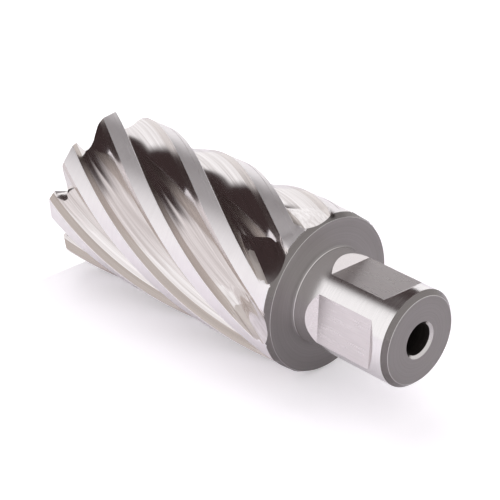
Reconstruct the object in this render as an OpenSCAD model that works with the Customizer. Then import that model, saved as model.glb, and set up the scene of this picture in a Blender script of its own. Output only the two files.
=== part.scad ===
// Annular cutter, one piece of high-speed steel: a hollow fluted body with a ring of cutting teeth,
// a flange, and a round driving shank with two flats and a bore for a pilot pin.
// It stands on its teeth: the tips lie at z = 0 and the tool axis is +Z, shank upwards.

/* [Cutting body] */
// Cutting diameter over the margins, mm
cut_dia = 32; // [30:0.5:38]
// Wall between the cutting diameter and the hollow core, mm
wall = 5; // [4.6:0.1:5.6]
// Tooth tips to the rear face of the flange, mm
body_length = 63.1; // [56:0.1:70]
// Solid metal between the core and the rear face of the flange, mm
head_thickness = 5.9; // [4:0.1:9]
// Number of teeth and flutes
teeth = 8; // [6:2:8]
// Helix angle of the flutes at the cutting diameter, degrees
helix_angle = 29.5; // [20:0.5:32]

/* [Flutes] */
// Deepest cut of the flute below the cutting diameter, mm
flute_depth = 3.5; // [3.4:0.1:3.8]
// Drop of the ground land behind its margin, mm
land_relief = 0.08; // [0.05:0.01:0.15]
// Start of a run-out on its heel side, below the rear face of the flange, mm
runout_heel = 5.4; // [4.6:0.1:7]
// Start of a run-out at the root of the rake wall, below the rear face of the flange, mm
runout_root = 15.9; // [12:0.1:20]
// Least rise of the flute floor along the axis in its run-out, mm per mm
runout_slope = 0.15; // [0.14:0.01:0.2]
// Reach of a flute's highest end past the rear face of the flange, mm
runout_past = 1.5; // [0.8:0.1:2]
// Drop from the highest to the lowest end of a flute, mm
runout_drop = 5.7; // [4.5:0.1:7]
// Angle of the first leading edge at the tips, seen from above, degrees
tooth_phase = -8; // [-20:0.1:20]

/* [Teeth] */
// Clearance behind each cutting edge, degrees
clearance_angle = 12; // [8:1:14]
// Distance of the tips inside the cutting diameter, mm
tip_inset = 2; // [1.8:0.1:2.1]
// Slope of the cutting edge from the tip towards the core, degrees
edge_slope = 12; // [6:1:16]
// Slope of the outer cutting edge on the even teeth, degrees
outer_slope = 15; // [8:1:22]
// Slope of the outer cutting edge on the odd teeth, degrees
bevel_slope = 33; // [26:1:40]
// Height of the gullets above the tips, mm
gullet_height = 2.7; // [2:0.1:3]

/* [Flange] */
// Chamfer at the rear edge of the flange, along the radius, mm
flange_chamfer = 0.65; // [0.4:0.05:0.9]
// Chamfer at the rear edge of the flange, along the axis, mm
flange_chamfer_length = 1.3; // [0.8:0.05:1.8]
// Fillet between the flange and the shank, mm
neck_fillet = 0.6; // [0.3:0.05:1]

/* [Shank] */
// Shank diameter, mm
shank_dia = 19.05; // [18:0.05:20]
// Shank length from the flange to its end, mm
shank_length = 22.6; // [21.5:0.1:32]
// Chamfer at the shank end, mm
shank_chamfer = 0.95; // [0.5:0.05:1.2]
// Depth of each driving flat, mm
flat_depth = 1.45; // [1:0.05:1.6]
// Length of each flat's floor, mm
flat_length = 12.8; // [10:0.1:13]
// Distance from the shank end to the flat's floor, mm
flat_setback = 4.8; // [4:0.1:5.2]
// Slope at both ends of a flat, degrees from the axis
flat_end_slope = 37; // [35:1:60]

/* [Pilot bore] */
// Bore for the ejecting pilot pin, mm
pilot_dia = 6.35; // [6:0.05:8]
// Countersink of the pilot bore at the shank end, mm
pilot_chamfer = 0.5; // [0.3:0.05:1]

/* [Hidden] */
$fn = 96;
steel = [0.74, 0.73, 0.73];
cut_r = cut_dia / 2;
core_r = cut_r - wall;
core_depth = body_length - head_thickness;
shank_r = shank_dia / 2;
pilot_r = pilot_dia / 2;
overall = body_length + shank_length;
pitch = 360 / teeth;
// Turn of the helix, degrees for each millimetre of height
twist = 360 * tan(helix_angle) / (PI * cut_dia);
// Every cutting tool shape runs past the metal by this much, mm
over = 0.3 * wall;
fillet_steps = 6;

// Flute section behind a leading edge: [share of the tooth pitch, share of the flute depth].
// Margin edge, ground land, heel bevel, floor falling to the root, root fillet, and the rake wall of the
// next tooth, which meets the cutting diameter at one whole pitch and ends outside the metal.
section = [
  [0.085, 0],
  [0.195, 0],
  [0.290, 0],
  [0.345, 0.10],
  [0.395, 0.19],
  [0.425, 0.262],
  [0.455, 0.331],
  [0.490, 0.41],
  [0.530, 0.496],
  [0.580, 0.597],
  [0.660, 0.741],
  [0.750, 0.885],
  [0.830, 0.985],
  [0.872, 0.99],
  [0.905, 0.84],
  [0.930, 0.60],
  [1.018, -0.15]
];
last_col = len(section) - 1;
// The first columns are the ground land, which drops by land_relief only
land_cols = 3;
// Drop of the flute's end below its highest end for each column of the section, share of runout_drop
end_drop = [
  0.64, 0.85, 0.94, 0.30, 0.16, 0.07, 0.02, 0, 0,
  0.02, 0.11, 0.30, 0.47, 0.56, 0.65, 0.72, 1
];
// The run-out's start is a straight line between these two shares of the pitch
heel_share = 0.333;
root_share = 0.967;

// Outer columns close the tool shape outside the metal: one for every fourth column of the section
outer_step = 4;
outer_cols = last_col / outer_step;
body_rings = 16;
runout_rings = 5;
rings = body_rings + runout_rings;

function depth_of(j) = j < land_cols ? land_relief : section[j][1] * flute_depth;
// The floor climbs steadily, crosses the cutting diameter at the flute's end and leaves the metal
function end_of(j) = body_length + runout_past - end_drop[j] * runout_drop;
function start_of(j) = body_length - runout_heel
  - (runout_root - runout_heel) * (section[j][0] - heel_share) / (root_share - heel_share);
function slope_of(j) = j < land_cols
  ? runout_slope
  : max(runout_slope, depth_of(j) / (end_of(j) - start_of(j)));
function climb_of(j) = (depth_of(j) + over / 2) / slope_of(j);
function exit_of(j) = end_of(j) + over / 2 / slope_of(j);
function crease_of(j) = exit_of(j) - climb_of(j);
function height_at(j, k) = k <= body_rings
  ? -over + (crease_of(j) + over) * k / body_rings
  : crease_of(j) + climb_of(j) * (k - body_rings) / runout_rings;
function radius_at(j, k) = k <= body_rings
  ? cut_r - depth_of(j)
  : cut_r - depth_of(j) + slope_of(j) * climb_of(j) * (k - body_rings) / runout_rings;
function place(r, turn, z) = [r * cos(turn), r * sin(turn), z];
function turn_at(j, k) = section[j][0] * pitch + twist * height_at(j, k);
function floor_point(j, k) = place(radius_at(j, k), turn_at(j, k), height_at(j, k));
function outer_point(j, k) = place(cut_r + over, turn_at(j, k), height_at(j, k));

// Tool shape of one flute with the land behind the leading edge, for the tooth at zero degrees
module flute() {
  cols = last_col + 1;
  stride = cols + outer_cols + 1;
  points = [
    for (k = [0:rings])
      for (c = [0:stride - 1])
        c < cols ? floor_point(c, k) : outer_point((c - cols) * outer_step, k)
  ];
  floors = [
    for (k = [0:rings - 1])
      for (j = [0:last_col - 1])
        let (a = k * stride + j, b = a + stride)
          each [[a, b + 1, b], [a, a + 1, b + 1]]
  ];
  outsides = [
    for (k = [0:rings - 1])
      for (t = [0:outer_cols - 1])
        let (a = k * stride + cols + t, b = a + stride)
          each [[a, b, b + 1], [a, b + 1, a + 1]]
  ];
  sides = [
    for (k = [0:rings - 1])
      let (
        a = k * stride,
        b = a + stride,
        p = a + last_col,
        q = b + last_col,
        s = a + cols,
        e = s + outer_cols
      )
        each [
          [a, s + stride, s], [a, b, s + stride],
          [p, e + stride, q], [p, e, e + stride]
        ]
  ];
  caps = [
    for (t = [0:outer_cols - 1])
      let (
        f = cols + t,
        g = rings * stride,
        first = t * outer_step,
        last = first + outer_step
      )
        each concat(
          [for (j = [first:last - 1]) [f, j + 1, j]],
          [[f, f + 1, last]],
          [for (j = [first:last - 1]) [g + f, g + j, g + j + 1]],
          [[g + f, g + last, g + f + 1]]
        )
  ];
  polyhedron(points = points, faces = concat(floors, outsides, sides, caps), convexity = 6);
}

// Half section of the turned blank with core, pilot bore, chamfers and neck fillet
module blank() {
  neck = [
    for (i = [0:fillet_steps])
      let (turn = 90 * i / fillet_steps)
        [shank_r + neck_fillet * (1 - sin(turn)), body_length + neck_fillet * (1 - cos(turn))]
  ];
  rotate_extrude()
    polygon(concat(
      [
        [core_r, 0],
        [cut_r, 0],
        [cut_r, body_length - flange_chamfer_length],
        [cut_r - flange_chamfer, body_length]
      ],
      neck,
      [
        [shank_r, overall - shank_chamfer],
        [shank_r - shank_chamfer, overall],
        [pilot_r + pilot_chamfer, overall],
        [pilot_r, overall - pilot_chamfer],
        [pilot_r, core_depth],
        [core_r, core_depth]
      ]
    ));
}

// Tool shape of the driving flat that faces +X, with a slope at both ends of its floor
module flat() {
  low = overall - flat_setback - flat_length;
  high = overall - flat_setback;
  floor_x = shank_r - flat_depth;
  reach = flat_depth + over;
  run = reach / tan(flat_end_slope);
  translate([0, shank_r, 0])
    rotate([90, 0, 0])
      linear_extrude(height = shank_dia)
        polygon([
          [floor_x, low],
          [floor_x + reach, low - run],
          [floor_x + reach, high + run],
          [floor_x, high]
        ]);
}

tip_r = cut_r - tip_inset;
// The tool shapes of the tooth ends start this far ahead of a tip and reach half a pitch behind it, mm
tip_lead = 0.4 * wall;
tooth_span = cut_r * pitch / 2 * PI / 180;
// Narrow land left at each tip, mm
tip_land = 0.06;
// Turn from a leading edge to the tip, which lies ahead of it on the straight rake wall, degrees
rake_from = section[last_col - 1];
rake_to = section[last_col];
tip_share = rake_from[0] + (rake_to[0] - rake_from[0])
  * (rake_from[1] - tip_inset / flute_depth) / (rake_from[1] - rake_to[1]);
tip_turn = (tip_share - 1) * pitch;

// Places a tool shape at the tip of the tooth at zero degrees, turned by the clearance
module at_tip() {
  rotate([0, 0, tip_turn])
    translate([tip_r, tip_land, 0])
      rotate([clearance_angle, 0, 0])
        children();
}

// Tool shape below the cutting edge between the tip and the core
module clearance() {
  at_tip()
    rotate([0, edge_slope, 0])
      translate([-wall - over, -tip_lead, -2 * over])
        cube([wall + tip_inset + 2 * over, tooth_span + tip_lead, 2 * over]);
}

// Tool shape below the outer cutting edge, which falls away from the tip towards the cutting diameter
module outer_edge(slope) {
  at_tip()
    rotate([0, -slope, 0])
      translate([0, -tip_lead, -2 * over])
        cube([tip_inset + 2 * over, tooth_span + tip_lead, 2 * over]);
}

// Gullet ahead of a tooth: [share of the tooth pitch ahead of it, share of the gullet height]
gullet_form = [
  [0.07, 0.26],
  [0.11, 0.63],
  [0.20, 0.89],
  [0.29, 1],
  [0.41, 0.99],
  [0.515, 0.78],
  [0.61, 0.60],
  [0.70, 0.42]
];

// Tool shape of the gullet through the web ahead of the tooth at zero degrees, leaning with the helix
module gullet() {
  mm_each_degree = (cut_r - flute_depth) * PI / 180;
  lean = twist * mm_each_degree;
  first = gullet_form[0][0];
  last = gullet_form[len(gullet_form) - 1][0];
  translate([core_r - over, 0, 0])
    rotate([90, 0, 90])
      linear_extrude(height = wall - flute_depth + 2 * over)
        polygon(concat(
          [[-first * pitch * mm_each_degree - lean * over, -over]],
          [
            for (g = gullet_form)
              let (z = g[1] * gullet_height)
                [-g[0] * pitch * mm_each_degree + lean * z, z]
          ],
          [[-last * pitch * mm_each_degree - lean * over, -over]]
        ));
}

module annular_cutter() {
  color(steel)
    difference() {
      blank();
      for (turn = [0, -90])
        rotate([0, 0, turn])
          flat();
      for (i = [0:teeth - 1])
        rotate([0, 0, tooth_phase + pitch * i]) {
          flute();
          gullet();
          clearance();
          outer_edge(i % 2 == 0 ? outer_slope : bevel_slope);
        }
    }
}

annular_cutter();
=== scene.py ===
"""Annular cutter on its teeth, in ground, milled and turned steel with painted shade on its flute walls and
in its bore, in a white studio.
"""

from __future__ import annotations

import logging
import math
from dataclasses import dataclass, field
from enum import Enum

import bmesh
import bpy
from mathutils import Matrix, Vector


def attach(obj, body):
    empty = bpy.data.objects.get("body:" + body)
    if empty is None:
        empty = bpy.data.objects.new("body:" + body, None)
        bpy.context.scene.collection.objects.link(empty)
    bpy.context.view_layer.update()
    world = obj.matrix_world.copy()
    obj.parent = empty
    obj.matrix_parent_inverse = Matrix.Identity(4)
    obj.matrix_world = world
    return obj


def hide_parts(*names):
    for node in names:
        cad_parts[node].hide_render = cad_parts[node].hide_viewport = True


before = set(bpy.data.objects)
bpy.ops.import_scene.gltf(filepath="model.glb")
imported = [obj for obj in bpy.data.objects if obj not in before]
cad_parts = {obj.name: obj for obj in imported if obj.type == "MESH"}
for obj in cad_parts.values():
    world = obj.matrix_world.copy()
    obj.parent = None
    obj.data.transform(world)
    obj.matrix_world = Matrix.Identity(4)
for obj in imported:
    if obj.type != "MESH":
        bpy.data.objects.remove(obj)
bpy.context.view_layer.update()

log = logging.getLogger("annular_cutter")
MM = 0.001
NODE = "annular_cutter"
VECTOR = {"Vector": "NodeSocketVector"}


class Surface(Enum):
    """The cutter's surfaces, by finish or by painted shade and highlight; the value is the material slot's
    index.
    """

    FLUTE = 0
    LAND = 1
    HEEL = 2
    TURNED = 3
    SHANK = 4
    FLAT = 5
    POLISHED = 6
    TOOTH = 7
    BORE = 8
    RAKE = 9
    CHAMFER = 10
    FADE = 11


@dataclass(frozen=True)
class Column:
    """One line of the flute section, swept along the helix.

    Attributes:
        share: place behind the leading edge, as a share of the tooth pitch.
        depth: distance below the cutting diameter, mm.
        drop: how far the flute ends here below its highest end, mm.
        crease: sharpness of the line, 0 round to 1 sharp.
    """

    share: float
    depth: float
    drop: float
    crease: float = 0.0


SECTION = (
    Column(0.003, 0.0, 3.65, 1.0),
    Column(0.044, 0.0, 3.65),
    Column(0.085, 0.0, 3.65, 1.0),
    Column(0.0865, 0.08, 3.65, 1.0),
    Column(0.137, 0.08, 4.25),
    Column(0.188, 0.08, 4.80),
    Column(0.239, 0.08, 5.10),
    Column(0.290, 0.08, 5.36, 1.0),
    Column(0.345, 0.45, 1.71),
    Column(0.395, 0.81, 0.91, 1.0),
    Column(0.425, 1.055, 0.40),
    Column(0.455, 1.29, 0.11),
    Column(0.490, 1.55, 0.0),
    Column(0.530, 1.83, 0.0),
    Column(0.580, 2.17, 0.11),
    Column(0.660, 2.65, 0.63),
    Column(0.750, 3.105, 1.71),
    Column(0.830, 3.415, 2.68),
    Column(0.872, 3.545, 3.19, 0.8),
    Column(0.905, 2.94, 3.70),
    Column(0.930, 2.10, 4.10),
    Column(0.968, 0.967, 4.80),
    Column(0.998, 0.072, 5.35, 1.0),
)

# Shares of the tooth pitch at which the surfaces change, and how near to one still counts
LAND_END = 0.290
# From LAND_END to HEEL_END the heel wall gets painted shade
HEEL_END = 0.395
# Past ROOT_END and within rake_fade of the flange the root and rake wall get a lighter painted shade
ROOT_END = 0.88
# Past RAKE_START the rake wall's outer part gets painted shade; its inner part keeps the light flute steel
RAKE_START = 0.955
SHARE_NEAR = 0.01

# Gullet ahead of a tooth: (share of the tooth pitch ahead of it, height above the tips in mm)
GULLET = ((0.07, 0.70), (0.11, 1.70), (0.20, 2.40), (0.29, 2.70), (0.41, 2.67), (0.515, 2.106), (0.61, 1.62),
          (0.70, 1.134))
GULLET_TOP = max(height for _, height in GULLET)

# Upward share of a face's normal by which surfaces are told apart; WALL_LEAN also limits its outward share
FACE_UP = 0.95
# FILLET_UP splits the neck fillet into dark turned steel and a painted highlight
FILLET_UP = 0.55
CHAMFER_UP = 0.5
RIM_UP = 0.1
WALL_LEAN = 0.2
TOOTH_DOWN = -0.5
FACE_DOWN = -0.75

# Grain of the steel: noise detail and roughness, the part of the noise that is used, and its depth in metres
GRAIN_DETAIL = 2.0
GRAIN_ROUGHNESS = 0.6
GRAIN_PART = (0.3, 0.7)
GRAIN_DEPTH = 0.00002


def box_cutter(low: Vector, high: Vector, place: Matrix) -> bmesh.types.BMesh:
    """Makes a cutting block.

    Args:
        low: its lowest corner, mm.
        high: its highest corner, mm.
        place: where it goes.

    Returns:
        The block as a bmesh.
    """
    bm = bmesh.new()
    bmesh.ops.create_cube(bm, size=1.0)
    size = high - low
    bmesh.ops.scale(bm, vec=size, verts=bm.verts)
    bmesh.ops.translate(bm, vec=(low + high) / 2, verts=bm.verts)
    bmesh.ops.transform(bm, matrix=place, verts=bm.verts)
    return bm


def prism_cutter(outline: list[tuple[float, float, float]], depth: Vector,
                 place: Matrix) -> bmesh.types.BMesh:
    """Makes a cutting prism from a flat outline.

    Args:
        outline: corners of the outline, mm.
        depth: the way and length of the extrusion, mm.
        place: where it goes.

    Returns:
        The prism as a bmesh.
    """
    bm = bmesh.new()
    face = bm.faces.new([bm.verts.new(p) for p in outline])
    grown = bmesh.ops.extrude_face_region(bm, geom=[face])["geom"]
    bmesh.ops.translate(bm, vec=depth, verts=[g for g in grown if isinstance(g, bmesh.types.BMVert)])
    bmesh.ops.recalc_face_normals(bm, faces=bm.faces)
    bmesh.ops.transform(bm, matrix=place, verts=bm.verts)
    return bm


@dataclass
class Cutter:
    """The one-piece cutter: fluted body, teeth, flange and shank. Sizes are in mm, angles in degrees.

    The fields from over on hold the cutting blocks' reach, rows of vertices, and what tells surfaces apart.
    """

    cut_r: float = 16.0
    core_r: float = 11.0
    body_length: float = 63.1
    core_depth: float = 57.2
    teeth: int = 8
    helix_angle: float = 29.5
    tooth_phase: float = -8.0
    flute_depth: float = 3.5
    runout_heel: float = 5.4
    runout_root: float = 15.9
    runout_slope: float = 0.15
    runout_past: float = 1.5
    heel_share: float = 0.333
    root_share: float = 0.967
    clearance_angle: float = 12.0
    tip_inset: float = 2.0
    tip_turn: float = -3.0
    tip_land: float = 0.06
    edge_slope: float = 12.0
    outer_slope: float = 15.0
    bevel_slope: float = 33.0
    flange_chamfer: float = 0.65
    flange_chamfer_length: float = 1.3
    edge_width: float = 0.07
    neck_fillet: float = 0.6
    shank_r: float = 9.525
    shank_length: float = 22.6
    shank_chamfer: float = 0.95
    flat_depth: float = 1.45
    flat_length: float = 12.8
    flat_setback: float = 4.8
    flat_end_slope: float = 37.0
    flat_angles: tuple[float, float] = (0.0, -90.0)
    pilot_r: float = 3.175
    pilot_chamfer: float = 0.5
    over: float = 1.5
    tip_lead: float = 2.0
    flat_overhang: float = 1.0
    body_rows: int = 30
    runout_rows: int = 8
    neck_rows: int = 5
    shank_rows: int = 9
    core_rows: int = 6
    pilot_row: float = 10.0
    shortest_climb: float = 0.3
    weld: float = 0.0005
    sliver: float = 0.0002
    touching: float = 0.001
    close: float = 0.01
    near: float = 0.05
    flat_reach: float = 0.02
    land_reach: float = 0.1
    tooth_reach: float = 1.0
    tooth_zone: float = 10.0
    runout_zone: tuple[float, float] = (3.0, 20.0)
    sharp_angle: float = 18.0
    line_reach: float = 0.2
    # rake_fade: length before the flange where the rake's painted shade is lighter
    rake_fade: float = 10.0
    mesh: bpy.types.Object | None = field(default=None, init=False)

    @property
    def pitch(self) -> float:
        """Tooth pitch, degrees."""
        return 360.0 / self.teeth

    @property
    def tooth_span(self) -> float:
        """Half a tooth pitch along the cutting diameter, mm."""
        return self.cut_r * math.radians(self.pitch) / 2

    @property
    def twist(self) -> float:
        """Turn of the helix, degrees for each mm of height."""
        return 360.0 * math.tan(math.radians(self.helix_angle)) / (2 * math.pi * self.cut_r)

    @property
    def overall(self) -> float:
        """Length from the tips to the shank end, mm."""
        return self.body_length + self.shank_length

    @property
    def rim_z(self) -> float:
        """Height at which the flange's rear chamfer begins, mm."""
        return self.body_length - self.flange_chamfer_length

    def runout(self, column: Column) -> tuple[float, float, float]:
        """Finds where a column's floor starts to climb, where it meets the cutting diameter, and its rise.

        Args:
            column: the line of the section.

        Returns:
            Both heights in mm, and the rise in mm per mm.
        """
        end = self.body_length + self.runout_past - column.drop
        along = (column.share - self.heel_share) / (self.root_share - self.heel_share)
        start = self.body_length - self.runout_heel - (self.runout_root - self.runout_heel) * along
        slope = self.runout_slope
        if column.share > LAND_END:
            slope = max(slope, column.depth / (end - start))
        return end - max(column.depth / slope, self.shortest_climb), end, slope

    def rim(self, column: Column) -> tuple[float, bool]:
        """Finds the height of a flute's end contour in one column.

        Args:
            column: the line of the section.

        Returns:
            The height in mm, and whether the contour lies on the flange's chamfer there.
        """
        start, end, slope = self.runout(column)
        if end <= self.rim_z - self.near:
            return end, False
        fall = self.flange_chamfer / self.flange_chamfer_length
        return (column.depth + slope * start + fall * self.rim_z) / (slope + fall), True

    def place(self, column: Column, row: int) -> tuple[float, float]:
        """Gives a vertex of the swept skin its radius and height.

        Args:
            column: the line of the section.
            row: the row, counted from the teeth.

        Returns:
            Radius and height, mm.
        """
        start, _, slope = self.runout(column)
        stop, on_chamfer = self.rim(column)
        if row <= self.body_rows:
            return self.cut_r - column.depth, -self.over + (start + self.over) * row / self.body_rows
        if row <= self.body_rows + self.runout_rows:
            z = start + (stop - start) * (row - self.body_rows) / self.runout_rows
            return min(self.cut_r, self.cut_r - column.depth + slope * (z - start)), z
        if not on_chamfer:
            return self.cut_r, self.rim_z
        z = (stop + self.body_length) / 2
        return self.cut_r - (z - self.rim_z) * self.flange_chamfer / self.flange_chamfer_length, z

    def _skin(self, bm: bmesh.types.BMesh) -> tuple[list[bmesh.types.BMEdge], list[bmesh.types.BMEdge]]:
        """Sweeps the flute section along the helix and lifts its floor in the run-out.

        Args:
            bm: the bmesh to build in.

        Returns:
            The edges of the lowest and of the highest ring.
        """
        turn = math.radians(self.pitch)
        ring = []
        for column in (*SECTION, Column(SECTION[0].share + 1.0, SECTION[0].depth, SECTION[0].drop)):
            angle = math.radians(self.tooth_phase + column.share * self.pitch - self.twist * self.over)
            radius = self.cut_r - column.depth
            ring.append(bm.verts.new((radius * math.cos(angle), radius * math.sin(angle), -self.over)))
        edges = [bm.edges.new(pair) for pair in zip(ring, ring[1:])]
        bmesh.ops.spin(bm, geom=[*ring, *edges], cent=(0, 0, 0), axis=(0, 0, 1), dvec=(0, 0, 0),
                       angle=turn * (self.teeth - 1), steps=self.teeth - 1, use_duplicate=True)
        bmesh.ops.remove_doubles(bm, verts=bm.verts, dist=self.touching)
        rows = self.body_rows + self.runout_rows + 1
        bmesh.ops.spin(bm, geom=[*bm.verts, *bm.edges], cent=(0, 0, 0), axis=(0, 0, 1), dvec=(0, 0, 1.0),
                       angle=math.radians(self.twist * rows), steps=rows, use_duplicate=False)
        crease = bm.edges.layers.float.new("crease_edge")
        seat: dict[bmesh.types.BMVert, tuple[int, int]] = {}
        for v in bm.verts:
            row = round(v.co.z + self.over)
            angle = math.degrees(math.atan2(v.co.y, v.co.x)) - self.tooth_phase - self.twist * v.co.z
            share = (angle / self.pitch) % 1.0
            near = min(range(len(SECTION)), key=lambda i: abs(SECTION[i].share - share))
            seat[v] = (near, row)
            whole = round(angle / self.pitch - SECTION[near].share)
            radius, z = self.place(SECTION[near], row)
            at = math.radians(self.tooth_phase + (whole + SECTION[near].share) * self.pitch + self.twist * z)
            v.co = (radius * math.cos(at), radius * math.sin(at), z)
        end_row = self.body_rows + self.runout_rows
        for e in bm.edges:
            (i, a), (j, b) = seat[e.verts[0]], seat[e.verts[1]]
            if i == j and max(a, b) <= end_row:
                e[crease] = SECTION[i].crease
            elif a == b == end_row:
                e[crease] = 1.0
            elif a == b == rows and not (self.rim(SECTION[i])[1] or self.rim(SECTION[j])[1]):
                e[crease] = 1.0
            elif a == b == self.body_rows and min(SECTION[i].depth, SECTION[j].depth) > self.close:
                e[crease] = 1.0
        lowest = [e for e in bm.edges if seat[e.verts[0]][1] == seat[e.verts[1]][1] == 0]
        highest = [e for e in bm.edges if seat[e.verts[0]][1] == seat[e.verts[1]][1] == rows]
        return lowest, highest

    def _lathe(self, bm: bmesh.types.BMesh, loop: list[bmesh.types.BMEdge],
               stations: list[tuple[float, float, float]]) -> list[bmesh.types.BMEdge]:
        """Carries a ring of edges through the stations of a turned profile.

        Args:
            bm: the bmesh to build in.
            loop: the ring to start from.
            stations: radius, height and crease of each next ring, mm.

        Returns:
            The last ring.
        """
        crease = bm.edges.layers.float["crease_edge"]
        for radius, z, sharp in stations:
            grown = bmesh.ops.extrude_edge_only(bm, edges=loop)["geom"]
            loop = [g for g in grown if isinstance(g, bmesh.types.BMEdge)]
            rim = {v for e in loop for v in e.verts}
            loop = [e for e in loop if len(e.link_faces) == 1]
            for v in rim:
                flat = Vector((v.co.x, v.co.y, 0)).normalized()
                v.co = flat * radius + Vector((0, 0, z))
            for e in loop:
                e[crease] = sharp
        return loop

    @staticmethod
    def _straight(radius: float, start: float, stop: float, rows: int) -> list[tuple[float, float, float]]:
        """Lists the rings of a straight turned length, the last of them sharp.

        Args:
            radius: its radius, mm.
            start: the height that it starts from, mm.
            stop: the height of its last ring, mm.
            rows: how many rings it has.

        Returns:
            Radius, height and crease of each ring, mm.
        """
        return [(radius, start + (stop - start) * i / rows, 1.0 if i == rows else 0.0)
                for i in range(1, rows + 1)]

    def _profile(self) -> list[tuple[float, float, float]]:
        """Lists the turned profile from the flange's neck over the shank and down the core.

        Returns:
            Radius, height and crease of each ring, mm.
        """
        neck = []
        for i in range(1, self.neck_rows + 1):
            turn = math.radians(90 * i / self.neck_rows)
            neck.append((self.shank_r + self.neck_fillet * (1 - math.sin(turn)),
                         self.body_length + self.neck_fillet * (1 - math.cos(turn)), 0.0))
        shank = self._straight(self.shank_r, self.body_length + self.neck_fillet,
                               self.overall - self.shank_chamfer, self.shank_rows)
        head = [
            (self.shank_r - self.shank_chamfer + self.edge_width, self.overall - self.edge_width, 1.0),
            (self.shank_r - self.shank_chamfer, self.overall, 1.0),
            (self.pilot_r + self.pilot_chamfer, self.overall, 1.0),
            (self.pilot_r, self.overall - self.pilot_chamfer, 1.0),
            (self.pilot_r, self.overall - self.pilot_row, 0.0),
            (self.pilot_r, self.core_depth, 1.0),
            (self.core_r, self.core_depth, 1.0),
        ]
        core = self._straight(self.core_r, self.core_depth, -self.over, self.core_rows)
        return [*neck, *shank, *head, *core]

    def _solid(self) -> bmesh.types.BMesh:
        """Builds the closed cage of the cutter, before its flats and tooth ends are cut.

        Returns:
            The cage as a bmesh, mm.
        """
        bm = bmesh.new()
        lowest, highest = self._skin(bm)
        rear = self.cut_r - self.flange_chamfer
        fall = self.flange_chamfer / self.flange_chamfer_length
        flange = self._lathe(bm, highest, [
            (rear + self.edge_width * fall, self.body_length - self.edge_width, 1.0),
            (rear, self.body_length, 1.0),
        ])
        before = set(bm.edges)
        bmesh.ops.create_circle(bm, cap_ends=False, segments=len(highest),
                                radius=self.shank_r + self.neck_fillet,
                                matrix=Matrix.Translation((0, 0, self.body_length)))
        ring = [e for e in bm.edges if e not in before]
        core = self._lathe(bm, ring, self._profile())
        bmesh.ops.bridge_loops(bm, edges=[*flange, *ring])
        bmesh.ops.bridge_loops(bm, edges=[*core, *lowest])
        bmesh.ops.recalc_face_normals(bm, faces=bm.faces)
        return bm

    def _tooth(self, index: int) -> Matrix:
        """Turn that brings the tooth at zero degrees to its place."""
        return Matrix.Rotation(math.radians(self.tooth_phase + self.pitch * index), 4, "Z")

    def _tip(self, index: int) -> Matrix:
        """Finds the place of a cutting block at a tooth's tip, turned by the clearance.

        Args:
            index: the tooth.

        Returns:
            The place.
        """
        return (self._tooth(index) @ Matrix.Rotation(math.radians(self.tip_turn), 4, "Z")
                @ Matrix.Translation((self.cut_r - self.tip_inset, self.tip_land, 0))
                @ Matrix.Rotation(math.radians(self.clearance_angle), 4, "X"))

    def _clearance(self, index: int) -> bmesh.types.BMesh:
        """Makes the block below a tooth's cutting edge between the tip and the core.

        Args:
            index: the tooth.

        Returns:
            The block, mm.
        """
        place = self._tip(index) @ Matrix.Rotation(math.radians(self.edge_slope), 4, "Y")
        wall = self.cut_r - self.core_r
        return box_cutter(Vector((-wall - self.over, -self.tip_lead, -2 * self.over)),
                          Vector((self.tip_inset + self.over, self.tooth_span, 0)), place)

    def _outer_edge(self, index: int, slope: float) -> bmesh.types.BMesh:
        """Makes the block below a tooth's cutting edge between the tip and the cutting diameter.

        Args:
            index: the tooth.
            slope: rise of the edge towards the cutting diameter, degrees.

        Returns:
            The block, mm.
        """
        place = self._tip(index) @ Matrix.Rotation(math.radians(-slope), 4, "Y")
        return box_cutter(Vector((0, -self.tip_lead, -2 * self.over)),
                          Vector((self.tip_inset + 2 * self.over, self.tooth_span, 0)), place)

    def _gullet(self, index: int) -> bmesh.types.BMesh:
        """Makes the prism through the web ahead of a tooth, leaning with the helix.

        Args:
            index: the tooth.

        Returns:
            The prism, mm.
        """
        arc = (self.cut_r - self.flute_depth) * math.radians(1)
        lean = self.twist * arc
        x = self.core_r - self.over
        corners = [(GULLET[0][0], -self.over), *GULLET, (GULLET[-1][0], -self.over)]
        outline = [(x, -share * self.pitch * arc + lean * z, z) for share, z in corners]
        reach = self.cut_r - self.core_r - self.flute_depth + 2 * self.over
        return prism_cutter(outline, Vector((reach, 0, 0)), self._tooth(index))

    def _flat(self, angle: float) -> bmesh.types.BMesh:
        """Makes the prism above one driving flat.

        Args:
            angle: the way that the flat faces, from +X, degrees.

        Returns:
            The prism, mm.
        """
        high = self.overall - self.flat_setback
        low = high - self.flat_length
        floor = self.shank_r - self.flat_depth
        reach = self.flat_depth + self.over
        run = reach / math.tan(math.radians(self.flat_end_slope))
        y = -self.shank_r - self.flat_overhang
        outline = [(floor, y, low), (floor + reach, y, low - run),
                   (floor + reach, y, high + run), (floor, y, high)]
        return prism_cutter(outline, Vector((0, -2 * y, 0)), Matrix.Rotation(math.radians(angle), 4, "Z"))

    def _cut(self, cutters: list[bmesh.types.BMesh]) -> None:
        """Takes blocks that don't overlap off the piece.

        Args:
            cutters: the blocks, mm.
        """
        joined = bpy.data.meshes.new("cutting_blocks")
        whole = bmesh.new()
        for part in cutters:
            step = bpy.data.meshes.new("cutting_block")
            part.to_mesh(step)
            part.free()
            whole.from_mesh(step)
            bpy.data.meshes.remove(step)
        whole.to_mesh(joined)
        whole.free()
        block = bpy.data.objects.new("cutting_blocks", joined)
        bpy.context.scene.collection.objects.link(block)
        cut = self.mesh.modifiers.new("cut", "BOOLEAN")
        cut.operation = "DIFFERENCE"
        cut.solver = "MANIFOLD"
        cut.object = block
        self._apply()
        bpy.data.objects.remove(block)
        bpy.data.meshes.remove(joined)

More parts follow.
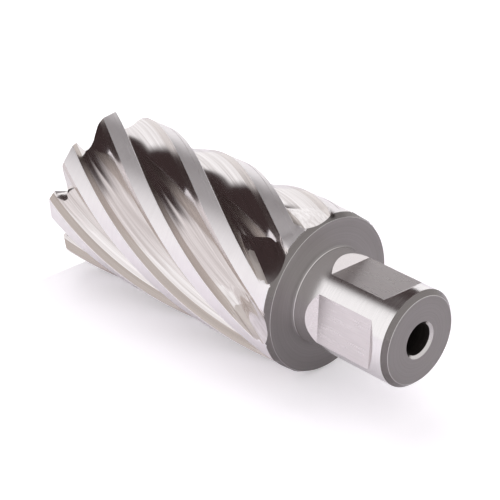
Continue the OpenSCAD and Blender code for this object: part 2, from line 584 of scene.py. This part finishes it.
    def _apply(self) -> None:
        """Applies the piece's modifiers to its mesh."""
        graph = bpy.context.evaluated_depsgraph_get()
        made = bpy.data.meshes.new_from_object(self.mesh.evaluated_get(graph))
        old = self.mesh.data
        self.mesh.modifiers.clear()
        self.mesh.data = made
        bpy.data.meshes.remove(old)

    def build(self) -> bpy.types.Object:
        """Builds the cutter as one mesh at the origin, in metres.

        Returns:
            The new object.
        """
        mesh = bpy.data.meshes.new("cutter")
        cage = self._solid()
        cage.to_mesh(mesh)
        cage.free()
        self.mesh = bpy.data.objects.new("cutter", mesh)
        bpy.context.scene.collection.objects.link(self.mesh)
        smooth = self.mesh.modifiers.new("smooth", "SUBSURF")
        smooth.levels = smooth.render_levels = 1
        smooth.use_limit_surface = True
        self._apply()
        even, odd = range(0, self.teeth, 2), range(1, self.teeth, 2)
        for angle in self.flat_angles:
            self._cut([self._flat(angle)])
        self._cut([self._gullet(i) for i in range(self.teeth)])
        self._cut([self._clearance(i) for i in even])
        self._cut([self._clearance(i) for i in odd])
        self._cut([self._outer_edge(i, self.outer_slope) for i in even])
        self._cut([self._outer_edge(i, self.bevel_slope) for i in odd])
        bm = bmesh.new()
        bm.from_mesh(self.mesh.data)
        bmesh.ops.remove_doubles(bm, verts=bm.verts, dist=self.weld)
        bmesh.ops.dissolve_degenerate(bm, edges=bm.edges, dist=self.sliver)
        bmesh.ops.delete(bm, geom=[v for v in bm.verts if not v.link_faces], context="VERTS")
        bmesh.ops.scale(bm, vec=(MM, MM, MM), verts=bm.verts)
        bm.to_mesh(self.mesh.data)
        bm.free()
        self.mesh.data.update()
        return self.mesh

    def surface_of(self, centre: Vector, normal: Vector) -> Surface:
        """Tells which surface a face belongs to: a finish, or a place of painted shade or highlight.

        Args:
            centre: the face's centre, m.
            normal: the face's normal.

        Returns:
            The surface.
        """
        p = centre / MM
        r = math.hypot(p.x, p.y)
        out = (p.x * normal.x + p.y * normal.y) / max(r, 1e-6)
        if p.z > self.body_length - self.touching:
            if p.z > self.overall - self.close:
                return Surface.TURNED
            # Below its polished countersink the pilot bore gets painted shade (BORE)
            if r < self.pilot_r + self.pilot_chamfer and out < 0.0:
                return Surface.POLISHED if p.z > self.overall - self.pilot_chamfer else Surface.BORE
            if normal.z > FACE_UP:
                return Surface.TURNED
            # The neck fillet's inner half gets a painted highlight (POLISHED), its outer half the dark turned
            # steel
            if p.z < self.body_length + self.neck_fillet:
                return Surface.TURNED if normal.z > FILLET_UP else Surface.POLISHED
            # The shank chamfer's outer edge band is lighter, a painted highlight line
            if p.z > self.overall - self.shank_chamfer and normal.z > CHAMFER_UP:
                return Surface.POLISHED if p.z > self.overall - self.edge_width else Surface.CHAMFER
            if r < self.shank_r - self.flat_reach:
                return Surface.FLAT
            return Surface.SHANK
        # Inside the core the wall gets painted shade (BORE)
        if r < self.core_r + self.near and out < WALL_LEAN and normal.z > -WALL_LEAN:
            return Surface.BORE
        # Downward faces: tooth ends near the tips, and higher up the core's ceiling with painted shade (BORE)
        if normal.z < FACE_DOWN or (p.z < GULLET_TOP + self.tooth_reach and normal.z < TOOTH_DOWN):
            return Surface.TOOTH if p.z < self.tooth_zone else Surface.BORE
        rear = self.cut_r - self.flange_chamfer
        # The flange chamfer's rear edge band is lighter, a painted highlight line
        if p.z > self.rim_z - self.near and normal.z > RIM_UP and r > rear - self.near:
            return Surface.POLISHED if p.z > self.body_length - self.edge_width else Surface.CHAMFER
        share = self._share(p)
        if r > self.cut_r - self.land_reach or share < LAND_END:
            return Surface.LAND
        # Near the flange the rake wall and root get a lighter painted shade
        if share > ROOT_END and p.z > self.body_length - self.rake_fade:
            return Surface.FADE
        # The rake wall's outer part gets painted shade
        if share > RAKE_START:
            return Surface.RAKE
        # The heel wall gets painted shade
        if share < HEEL_END:
            return Surface.HEEL
        return Surface.FLUTE

    def dress(self, finishes: dict[Surface, bpy.types.Material]) -> None:
        """Gives each face its finish, painted shade or painted highlight, and marks the sharp edges.

        Args:
            finishes: the material of each surface, painted shade and highlight among them.
        """
        data = self.mesh.data
        data.materials.clear()
        for surface in Surface:
            data.materials.append(finishes[surface])
        for face in data.polygons:
            face.material_index = self.surface_of(face.center, face.normal).value
            face.use_smooth = True
        data.set_sharp_from_angle(angle=math.radians(self.sharp_angle))
        on_line = [self._starts_runout(v.co) for v in data.vertices]
        for edge in data.edges:
            if on_line[edge.vertices[0]] and on_line[edge.vertices[1]]:
                edge.use_edge_sharp = True

    def _share(self, p: Vector) -> float:
        """Place of a point behind the leading edge ahead of it, as a share of the tooth pitch."""
        return (math.degrees(math.atan2(p.y, p.x)) - self.tooth_phase - self.twist * p.z) / self.pitch % 1.0

    def _starts_runout(self, at: Vector) -> bool:
        """Tells whether a point lies on the line where the flute's floor starts to climb.

        Args:
            at: the point, m.

        Returns:
            True on the line, outside the land.
        """
        p = at / MM
        share = self._share(p)
        below = self.body_length - p.z
        if share < HEEL_END - SHARE_NEAR or not self.runout_zone[0] < below < self.runout_zone[1]:
            return False
        ahead = next((i for i, c in enumerate(SECTION) if c.share >= share), len(SECTION) - 1)
        a, b = SECTION[ahead - 1], SECTION[ahead]
        part = (share - a.share) / (b.share - a.share)
        line = self.runout(a)[0] * (1 - part) + self.runout(b)[0] * part
        return abs(p.z - line) < self.line_reach


class Lay(Enum):
    """The way that a finish's grain runs."""

    HELIX = "along the flutes"
    TURNED = "round the axis"
    STRAIGHT = "along the axis"


class Patterns:
    """Node groups that the finishes share, each built once."""

    def __init__(self, twist: float) -> None:
        """Builds the groups.

        Args:
            twist: turn of the flutes, radians for each metre of height.
        """
        self.spaces = {Lay.HELIX: self._helix(twist), Lay.TURNED: self._turned()}
        self.grain = self._grain()

    @staticmethod
    def _group(name: str, inputs: dict[str, str], outputs: dict[str, str]) -> tuple[
            bpy.types.NodeTree, bpy.types.Node, bpy.types.Node]:
        """Starts a node group.

        Args:
            name: the group's name.
            inputs: socket names and types.
            outputs: socket names and types.

        Returns:
            The group, its input node and its output node.
        """
        tree = bpy.data.node_groups.new(name, "ShaderNodeTree")
        for label, kind in inputs.items():
            tree.interface.new_socket(label, in_out="INPUT", socket_type=kind)
        for label, kind in outputs.items():
            tree.interface.new_socket(label, in_out="OUTPUT", socket_type=kind)
        return tree, tree.nodes.new("NodeGroupInput"), tree.nodes.new("NodeGroupOutput")

    def _helix(self, twist: float) -> bpy.types.NodeTree:
        """Builds the space that unwinds the helix, so that its z runs along the flutes.

        Args:
            twist: turn of the flutes, radians for each metre of height.

        Returns:
            The node group.
        """
        tree, start, end = self._group("helix_space", VECTOR, VECTOR)
        apart = tree.nodes.new("ShaderNodeSeparateXYZ")
        tree.links.new(start.outputs["Vector"], apart.inputs[0])
        turn = tree.nodes.new("ShaderNodeMath")
        turn.operation = "MULTIPLY"
        turn.inputs[1].default_value = -twist
        tree.links.new(apart.outputs["Z"], turn.inputs[0])
        unwind = tree.nodes.new("ShaderNodeVectorRotate")
        unwind.rotation_type = "Z_AXIS"
        tree.links.new(start.outputs["Vector"], unwind.inputs["Vector"])
        tree.links.new(turn.outputs[0], unwind.inputs["Angle"])
        tree.links.new(unwind.outputs[0], end.inputs["Vector"])
        return tree

    def _turned(self) -> bpy.types.NodeTree:
        """Builds the space of radius and height, in which turned rings are alike all round.

        Returns:
            The node group.
        """
        tree, start, end = self._group("turned_space", VECTOR, VECTOR)
        apart = tree.nodes.new("ShaderNodeSeparateXYZ")
        tree.links.new(start.outputs["Vector"], apart.inputs[0])
        flat = tree.nodes.new("ShaderNodeVectorMath")
        flat.operation = "MULTIPLY"
        flat.inputs[1].default_value = (1, 1, 0)
        tree.links.new(start.outputs["Vector"], flat.inputs[0])
        length = tree.nodes.new("ShaderNodeVectorMath")
        length.operation = "LENGTH"
        tree.links.new(flat.outputs[0], length.inputs[0])
        ring = tree.nodes.new("ShaderNodeCombineXYZ")
        tree.links.new(length.outputs["Value"], ring.inputs["X"])
        tree.links.new(apart.outputs["Z"], ring.inputs["Z"])
        tree.links.new(ring.outputs[0], end.inputs["Vector"])
        return tree

    def _grain(self) -> bpy.types.NodeTree:
        """Builds the streaky grain that drives a finish's colour, roughness and relief.

        Returns:
            The node group.
        """
        tree, start, end = self._group(
            "steel_grain",
            {"Vector": "NodeSocketVector", "Stretch": "NodeSocketVector", "Light": "NodeSocketColor",
             "Dark": "NodeSocketColor", "Smoothest": "NodeSocketFloat", "Roughest": "NodeSocketFloat"},
            {"Color": "NodeSocketColor", "Roughness": "NodeSocketFloat", "Height": "NodeSocketFloat"})
        scale = tree.nodes.new("ShaderNodeVectorMath")
        scale.operation = "MULTIPLY"
        tree.links.new(start.outputs["Vector"], scale.inputs[0])
        tree.links.new(start.outputs["Stretch"], scale.inputs[1])
        noise = tree.nodes.new("ShaderNodeTexNoise")
        noise.inputs["Scale"].default_value = 1.0
        noise.inputs["Detail"].default_value = GRAIN_DETAIL
        noise.inputs["Roughness"].default_value = GRAIN_ROUGHNESS
        tree.links.new(scale.outputs[0], noise.inputs["Vector"])
        spread = tree.nodes.new("ShaderNodeMapRange")
        spread.inputs["From Min"].default_value = GRAIN_PART[0]
        spread.inputs["From Max"].default_value = GRAIN_PART[1]
        tree.links.new(noise.outputs["Fac"], spread.inputs["Value"])
        colour = tree.nodes.new("ShaderNodeMix")
        colour.data_type = "RGBA"
        tree.links.new(start.outputs["Dark"], colour.inputs["A"])
        tree.links.new(start.outputs["Light"], colour.inputs["B"])
        tree.links.new(spread.outputs["Result"], colour.inputs["Factor"])
        tree.links.new(colour.outputs["Result"], end.inputs["Color"])
        rough = tree.nodes.new("ShaderNodeMapRange")
        tree.links.new(spread.outputs["Result"], rough.inputs["Value"])
        tree.links.new(start.outputs["Roughest"], rough.inputs["To Min"])
        tree.links.new(start.outputs["Smoothest"], rough.inputs["To Max"])
        tree.links.new(rough.outputs["Result"], end.inputs["Roughness"])
        tree.links.new(spread.outputs["Result"], end.inputs["Height"])
        return tree


@dataclass(frozen=True)
class Steel:
    """One finish of the steel; some are darker or lighter greys that paint shade or a highlight.

    Attributes:
        name: the material's name.
        light: the lighter grey.
        dark: the darker grey in the grain.
        rough: roughness of the lighter and of the darker grain.
        stretch: grain lines per metre along x, y and z of its pattern space.
        lay: the way that the grain runs.
        bump: strength of the grain's relief.
        brushed: share by which highlights stretch across the grain.
        brush_turn: turn of that stretch from the ring round the axis, as a share of a full turn.
    """

    name: str
    light: tuple[float, float, float]
    dark: tuple[float, float, float]
    rough: tuple[float, float]
    stretch: tuple[float, float, float]
    lay: Lay
    bump: float
    brushed: float = 0.0
    brush_turn: float = 0.0

    def material(self, patterns: Patterns) -> bpy.types.Material:
        """Builds the node material.

        Args:
            patterns: the shared node groups.

        Returns:
            The material.
        """
        mat = bpy.data.materials.new(self.name)
        mat.use_nodes = True
        tree = mat.node_tree
        shader = tree.nodes["Principled BSDF"]
        shader.inputs["Metallic"].default_value = 1.0
        place = tree.nodes.new("ShaderNodeTexCoord").outputs["Object"]
        if self.lay in patterns.spaces:
            space = tree.nodes.new("ShaderNodeGroup")
            space.node_tree = patterns.spaces[self.lay]
            tree.links.new(place, space.inputs["Vector"])
            place = space.outputs["Vector"]
        grain = tree.nodes.new("ShaderNodeGroup")
        grain.node_tree = patterns.grain
        tree.links.new(place, grain.inputs["Vector"])
        grain.inputs["Stretch"].default_value = self.stretch
        grain.inputs["Light"].default_value = (*self.light, 1.0)
        grain.inputs["Dark"].default_value = (*self.dark, 1.0)
        grain.inputs["Smoothest"].default_value = self.rough[0]
        grain.inputs["Roughest"].default_value = self.rough[1]
        tree.links.new(grain.outputs["Color"], shader.inputs["Base Color"])
        tree.links.new(grain.outputs["Roughness"], shader.inputs["Roughness"])
        relief = tree.nodes.new("ShaderNodeBump")
        relief.inputs["Strength"].default_value = self.bump
        relief.inputs["Distance"].default_value = GRAIN_DEPTH
        tree.links.new(grain.outputs["Height"], relief.inputs["Height"])
        tree.links.new(relief.outputs["Normal"], shader.inputs["Normal"])
        if self.brushed:
            tangent = tree.nodes.new("ShaderNodeTangent")
            tangent.direction_type = "RADIAL"
            tangent.axis = "Z"
            tree.links.new(tangent.outputs[0], shader.inputs["Tangent"])
            shader.inputs["Anisotropic"].default_value = self.brushed
            shader.inputs["Anisotropic Rotation"].default_value = self.brush_turn
        return mat


FINISHES_AND_PAINTED_LIGHT = {
    Surface.FLUTE: Steel("ground_flute", (0.94, 0.91, 0.91), (0.70, 0.66, 0.65), (0.07, 0.14),
                         (1700, 1700, 25), Lay.HELIX, 0.015),
    Surface.LAND: Steel("ground_land", (0.96, 0.93, 0.94), (0.92, 0.89, 0.90), (0.36, 0.40),
                        (400, 400, 3000), Lay.TURNED, 0.01, 0.6, 0.25),
    # Heel wall: its darker brown grey is painted shade
    Surface.HEEL: Steel("heel_wall_painted_shade", (0.76, 0.71, 0.69), (0.66, 0.61, 0.59), (0.12, 0.22),
                        (2800, 2800, 30), Lay.HELIX, 0.02),
    # Rake wall's outer part: its dark brown grey is painted shade
    Surface.RAKE: Steel("rake_wall_painted_shade", (0.56, 0.50, 0.465), (0.45, 0.40, 0.37), (0.16, 0.26),
                        (2800, 2800, 30), Lay.HELIX, 0.03),
    # Rake wall and root near the flange: a lighter painted shade
    Surface.FADE: Steel("rake_runout_lighter_painted_shade", (0.66, 0.61, 0.58), (0.58, 0.53, 0.50), (0.40, 0.46),
                        (1700, 1700, 25), Lay.HELIX, 0.02),
    Surface.TURNED: Steel("turned_satin", (0.28, 0.265, 0.26), (0.255, 0.24, 0.236), (0.38, 0.46),
                          (3000, 400, 3000), Lay.TURNED, 0.02),
    Surface.CHAMFER: Steel("turned_chamfer", (0.21, 0.195, 0.19), (0.185, 0.17, 0.165), (0.22, 0.28),
                           (3000, 400, 3000), Lay.TURNED, 0.02),
    Surface.SHANK: Steel("ground_shank", (0.92, 0.90, 0.90), (0.88, 0.86, 0.86), (0.15, 0.20),
                         (400, 400, 3000), Lay.TURNED, 0.004, 0.6, 0.25),
    Surface.FLAT: Steel("milled_flat", (0.82, 0.78, 0.78), (0.77, 0.73, 0.73), (0.26, 0.34),
                        (4000, 4000, 200), Lay.STRAIGHT, 0.03),
    # Countersink polished; its lighter grey on the edge bands and the neck fillet's inner half is a painted
    # highlight
    Surface.POLISHED: Steel("polished_steel_and_painted_highlight", (0.62, 0.60, 0.59), (0.56, 0.54, 0.53), (0.14, 0.20),
                            (3000, 400, 3000), Lay.TURNED, 0.02),
    Surface.TOOTH: Steel("ground_tooth", (0.86, 0.83, 0.82), (0.76, 0.73, 0.72), (0.20, 0.28),
                         (2800, 400, 400), Lay.STRAIGHT, 0.05),
    # Bore and core inside: the near-black is painted shade
    Surface.BORE: Steel("bore_painted_shade", (0.16, 0.14, 0.13), (0.11, 0.095, 0.09), (0.4, 0.5),
                        (400, 400, 3000), Lay.TURNED, 0.2),
}


@dataclass
class Studio:
    """Floor, backdrop card, sky, lamp and camera.

    Lengths are in metres, the lens and the sensor in mm, and angles in degrees; camera_turn is a quaternion.
    The sky is seen from the card: its azimuth runs from +z towards +x and its height from the card's plane.
    """

    camera_at: tuple[float, float, float] = (0.24528984, -0.1782135, 0.28426534)
    camera_turn: tuple[float, float, float, float] = (0.07372504, 0.37068588, -0.22389235, 0.89834782)
    lens: float = 145.059
    sensor: float = 36.0
    clip_start: float = 0.01
    card_y: float = 0.016
    stage_half: float = 3.0
    paper: tuple[float, float, float] = (0.82, 0.80, 0.83)
    floor_glow: float = 0.92
    card_glow: float = 0.32
    sheen: float = 0.1
    lamp_from: tuple[float, float, float] = (-0.25, -1.0, -0.6)
    lamp_power: float = 0.95
    lamp_spread: float = 45.0
    white: tuple[float, float, float] = (1.0, 0.985, 0.99)
    gap: tuple[float, float, float] = (0.045, 0.03, 0.03)
    gap_middle: float = 192.0
    gap_left: tuple[float, float] = (-52.0, -36.0)
    gap_right: tuple[float, float] = (80.0, 56.0)
    gap_top: tuple[float, float] = (72.0, 58.0)
    gap_step: tuple[float, float] = (-14.0, -4.0)
    gap_low: tuple[float, float] = (-16.0, -6.0)
    gap_high: tuple[float, float] = (25.0, 28.0)

    def _paper(self, name: str, glow: float) -> bpy.types.Material:
        """Makes white paper that stays white to the camera and keeps the shadow.

        Args:
            name: the material's name.
            glow: brightness that camera rays get on top; glossy rays get the sheen's share of it.

        Returns:
            The material.
        """
        mat = bpy.data.materials.new(name)
        mat.use_nodes = True
        tree = mat.node_tree
        tree.nodes.clear()
        out = tree.nodes.new("ShaderNodeOutputMaterial")
        paper = tree.nodes.new("ShaderNodeBsdfDiffuse")
        paper.inputs["Color"].default_value = (*self.paper, 1)
        light = tree.nodes.new("ShaderNodeEmission")
        path = tree.nodes.new("ShaderNodeLightPath")
        gloss = self._math(tree, "MULTIPLY", path.outputs["Is Glossy Ray"], self.sheen)
        seen = self._math(tree, "MAXIMUM", path.outputs["Is Camera Ray"], gloss)
        tree.links.new(self._math(tree, "MULTIPLY", seen, glow), light.inputs["Strength"])
        both = tree.nodes.new("ShaderNodeAddShader")
        tree.links.new(paper.outputs[0], both.inputs[0])
        tree.links.new(light.outputs[0], both.inputs[1])
        clear = tree.nodes.new("ShaderNodeBsdfTransparent")
        side = tree.nodes.new("ShaderNodeNewGeometry")
        pick = tree.nodes.new("ShaderNodeMixShader")
        tree.links.new(side.outputs["Backfacing"], pick.inputs["Fac"])
        tree.links.new(both.outputs[0], pick.inputs[1])
        tree.links.new(clear.outputs[0], pick.inputs[2])
        tree.links.new(pick.outputs[0], out.inputs["Surface"])
        return mat

    def _sheet(self, name: str, place: Matrix, glow: float) -> bpy.types.Object:
        """Makes one plane of the stage.

        Args:
            name: the plane's name.
            place: where it goes.
            glow: brightness that camera rays get on top; glossy rays get the sheen's share of it.

        Returns:
            The new object.
        """
        bm = bmesh.new()
        bmesh.ops.create_grid(bm, x_segments=1, y_segments=1, size=self.stage_half, matrix=place)
        mesh = bpy.data.meshes.new(name)
        bm.to_mesh(mesh)
        bm.free()
        mesh.materials.append(self._paper(name, glow))
        sheet = bpy.data.objects.new(name, mesh)
        bpy.context.scene.collection.objects.link(sheet)
        return sheet

    def build(self) -> None:
        """Builds the stage, the sky, the lamp and the camera."""
        floor = self._sheet("floor", Matrix.Identity(4), self.floor_glow)
        floor.visible_glossy = False
        floor.visible_shadow = False
        upright = Matrix.Translation((0, self.card_y, 0)) @ Matrix.Rotation(math.pi / 2, 4, "X")
        card = self._sheet("card", upright, self.card_glow)
        card.visible_shadow = False
        self._sky()
        self._lamp()
        data = bpy.data.cameras.new("camera")
        data.lens = self.lens
        data.sensor_width = self.sensor
        data.clip_start = self.clip_start
        camera = bpy.data.objects.new("camera", data)
        camera.location = self.camera_at
        camera.rotation_mode = "QUATERNION"
        camera.rotation_quaternion = self.camera_turn
        bpy.context.scene.collection.objects.link(camera)
        bpy.context.scene.camera = camera
        bpy.context.scene.view_settings.view_transform = "Standard"

    def _lamp(self) -> None:
        """Adds a soft lamp that faces the card and lays the cutter's shadow on it."""
        data = bpy.data.lights.new("lamp", "SUN")
        data.energy = self.lamp_power
        data.angle = math.radians(self.lamp_spread)
        lamp = bpy.data.objects.new("lamp", data)
        lamp.rotation_euler = Vector(self.lamp_from).to_track_quat("Z", "Y").to_euler()
        lamp.visible_glossy = False
        bpy.context.scene.collection.objects.link(lamp)

    @staticmethod
    def _math(tree: bpy.types.NodeTree, operation: str,
              *values: bpy.types.NodeSocket | float) -> bpy.types.NodeSocket:
        """Adds a math node.

        Args:
            tree: the node tree.
            operation: what it does.
            values: its inputs, as sockets to link or as plain numbers.

        Returns:
            Its output.
        """
        node = tree.nodes.new("ShaderNodeMath")
        node.operation = operation
        for value, socket in zip(values, node.inputs):
            if isinstance(value, float):
                socket.default_value = value
            else:
                tree.links.new(value, socket)
        return node.outputs[0]

    @staticmethod
    def _step(tree: bpy.types.NodeTree, value: bpy.types.NodeSocket,
              ends: tuple[float, float]) -> bpy.types.NodeSocket:
        """Adds a smooth step.

        Args:
            tree: the node tree.
            value: an angle in radians.
            ends: the angles in degrees at which the step is 0 and 1.

        Returns:
            The step's output.
        """
        node = tree.nodes.new("ShaderNodeMapRange")
        node.interpolation_type = "SMOOTHSTEP"
        node.inputs["From Min"].default_value = math.radians(ends[0])
        node.inputs["From Max"].default_value = math.radians(ends[1])
        tree.links.new(value, node.inputs["Value"])
        return node.outputs["Result"]

    def _sky(self) -> None:
        """Builds a sky that is white all round but for one dark gap, lower on one side than on the other."""
        world = bpy.data.worlds.new("studio")
        bpy.context.scene.world = world
        world.use_nodes = True
        tree = world.node_tree
        turn = tree.nodes.new("ShaderNodeVectorRotate")
        turn.rotation_type = "Y_AXIS"
        turn.inputs["Angle"].default_value = -math.radians(self.gap_middle)
        tree.links.new(tree.nodes.new("ShaderNodeTexCoord").outputs["Generated"], turn.inputs["Vector"])
        apart = tree.nodes.new("ShaderNodeSeparateXYZ")
        tree.links.new(turn.outputs[0], apart.inputs[0])
        azimuth = self._math(tree, "ARCTAN2", apart.outputs["X"], apart.outputs["Z"])
        height = self._math(tree, "MULTIPLY", self._math(tree, "ARCSINE", apart.outputs["Y"]), -1.0)
        across = self._math(tree, "MULTIPLY", self._step(tree, azimuth, self.gap_left),
                            self._step(tree, azimuth, self.gap_right))
        foot = tree.nodes.new("ShaderNodeMix")
        tree.links.new(self._step(tree, azimuth, self.gap_step), foot.inputs["Factor"])
        tree.links.new(self._step(tree, height, self.gap_low), foot.inputs["A"])
        tree.links.new(self._step(tree, height, self.gap_high), foot.inputs["B"])
        upright = self._math(tree, "MULTIPLY", foot.outputs["Result"], self._step(tree, height, self.gap_top))
        shade = tree.nodes.new("ShaderNodeMix")
        shade.data_type = "RGBA"
        shade.inputs["A"].default_value = (*self.white, 1)
        shade.inputs["B"].default_value = (*self.gap, 1)
        tree.links.new(self._math(tree, "MULTIPLY", across, upright), shade.inputs["Factor"])
        tree.links.new(shade.outputs["Result"], tree.nodes["Background"].inputs["Color"])


def main() -> None:
    logging.basicConfig(level=logging.INFO, format="%(name)s: %(message)s")
    studio = Studio()
    studio.build()
    cutter = Cutter()
    piece = cutter.build()
    patterns = Patterns(math.radians(cutter.twist) / MM)
    cutter.dress({surface: finish.material(patterns) for surface, finish in FINISHES_AND_PAINTED_LIGHT.items()})
    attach(piece, "root")
    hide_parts(NODE)
    log.info("%s: %d faces", piece.name, len(piece.data.polygons))
    bpy.context.view_layer.update()


if __name__ == "__main__":
    main()
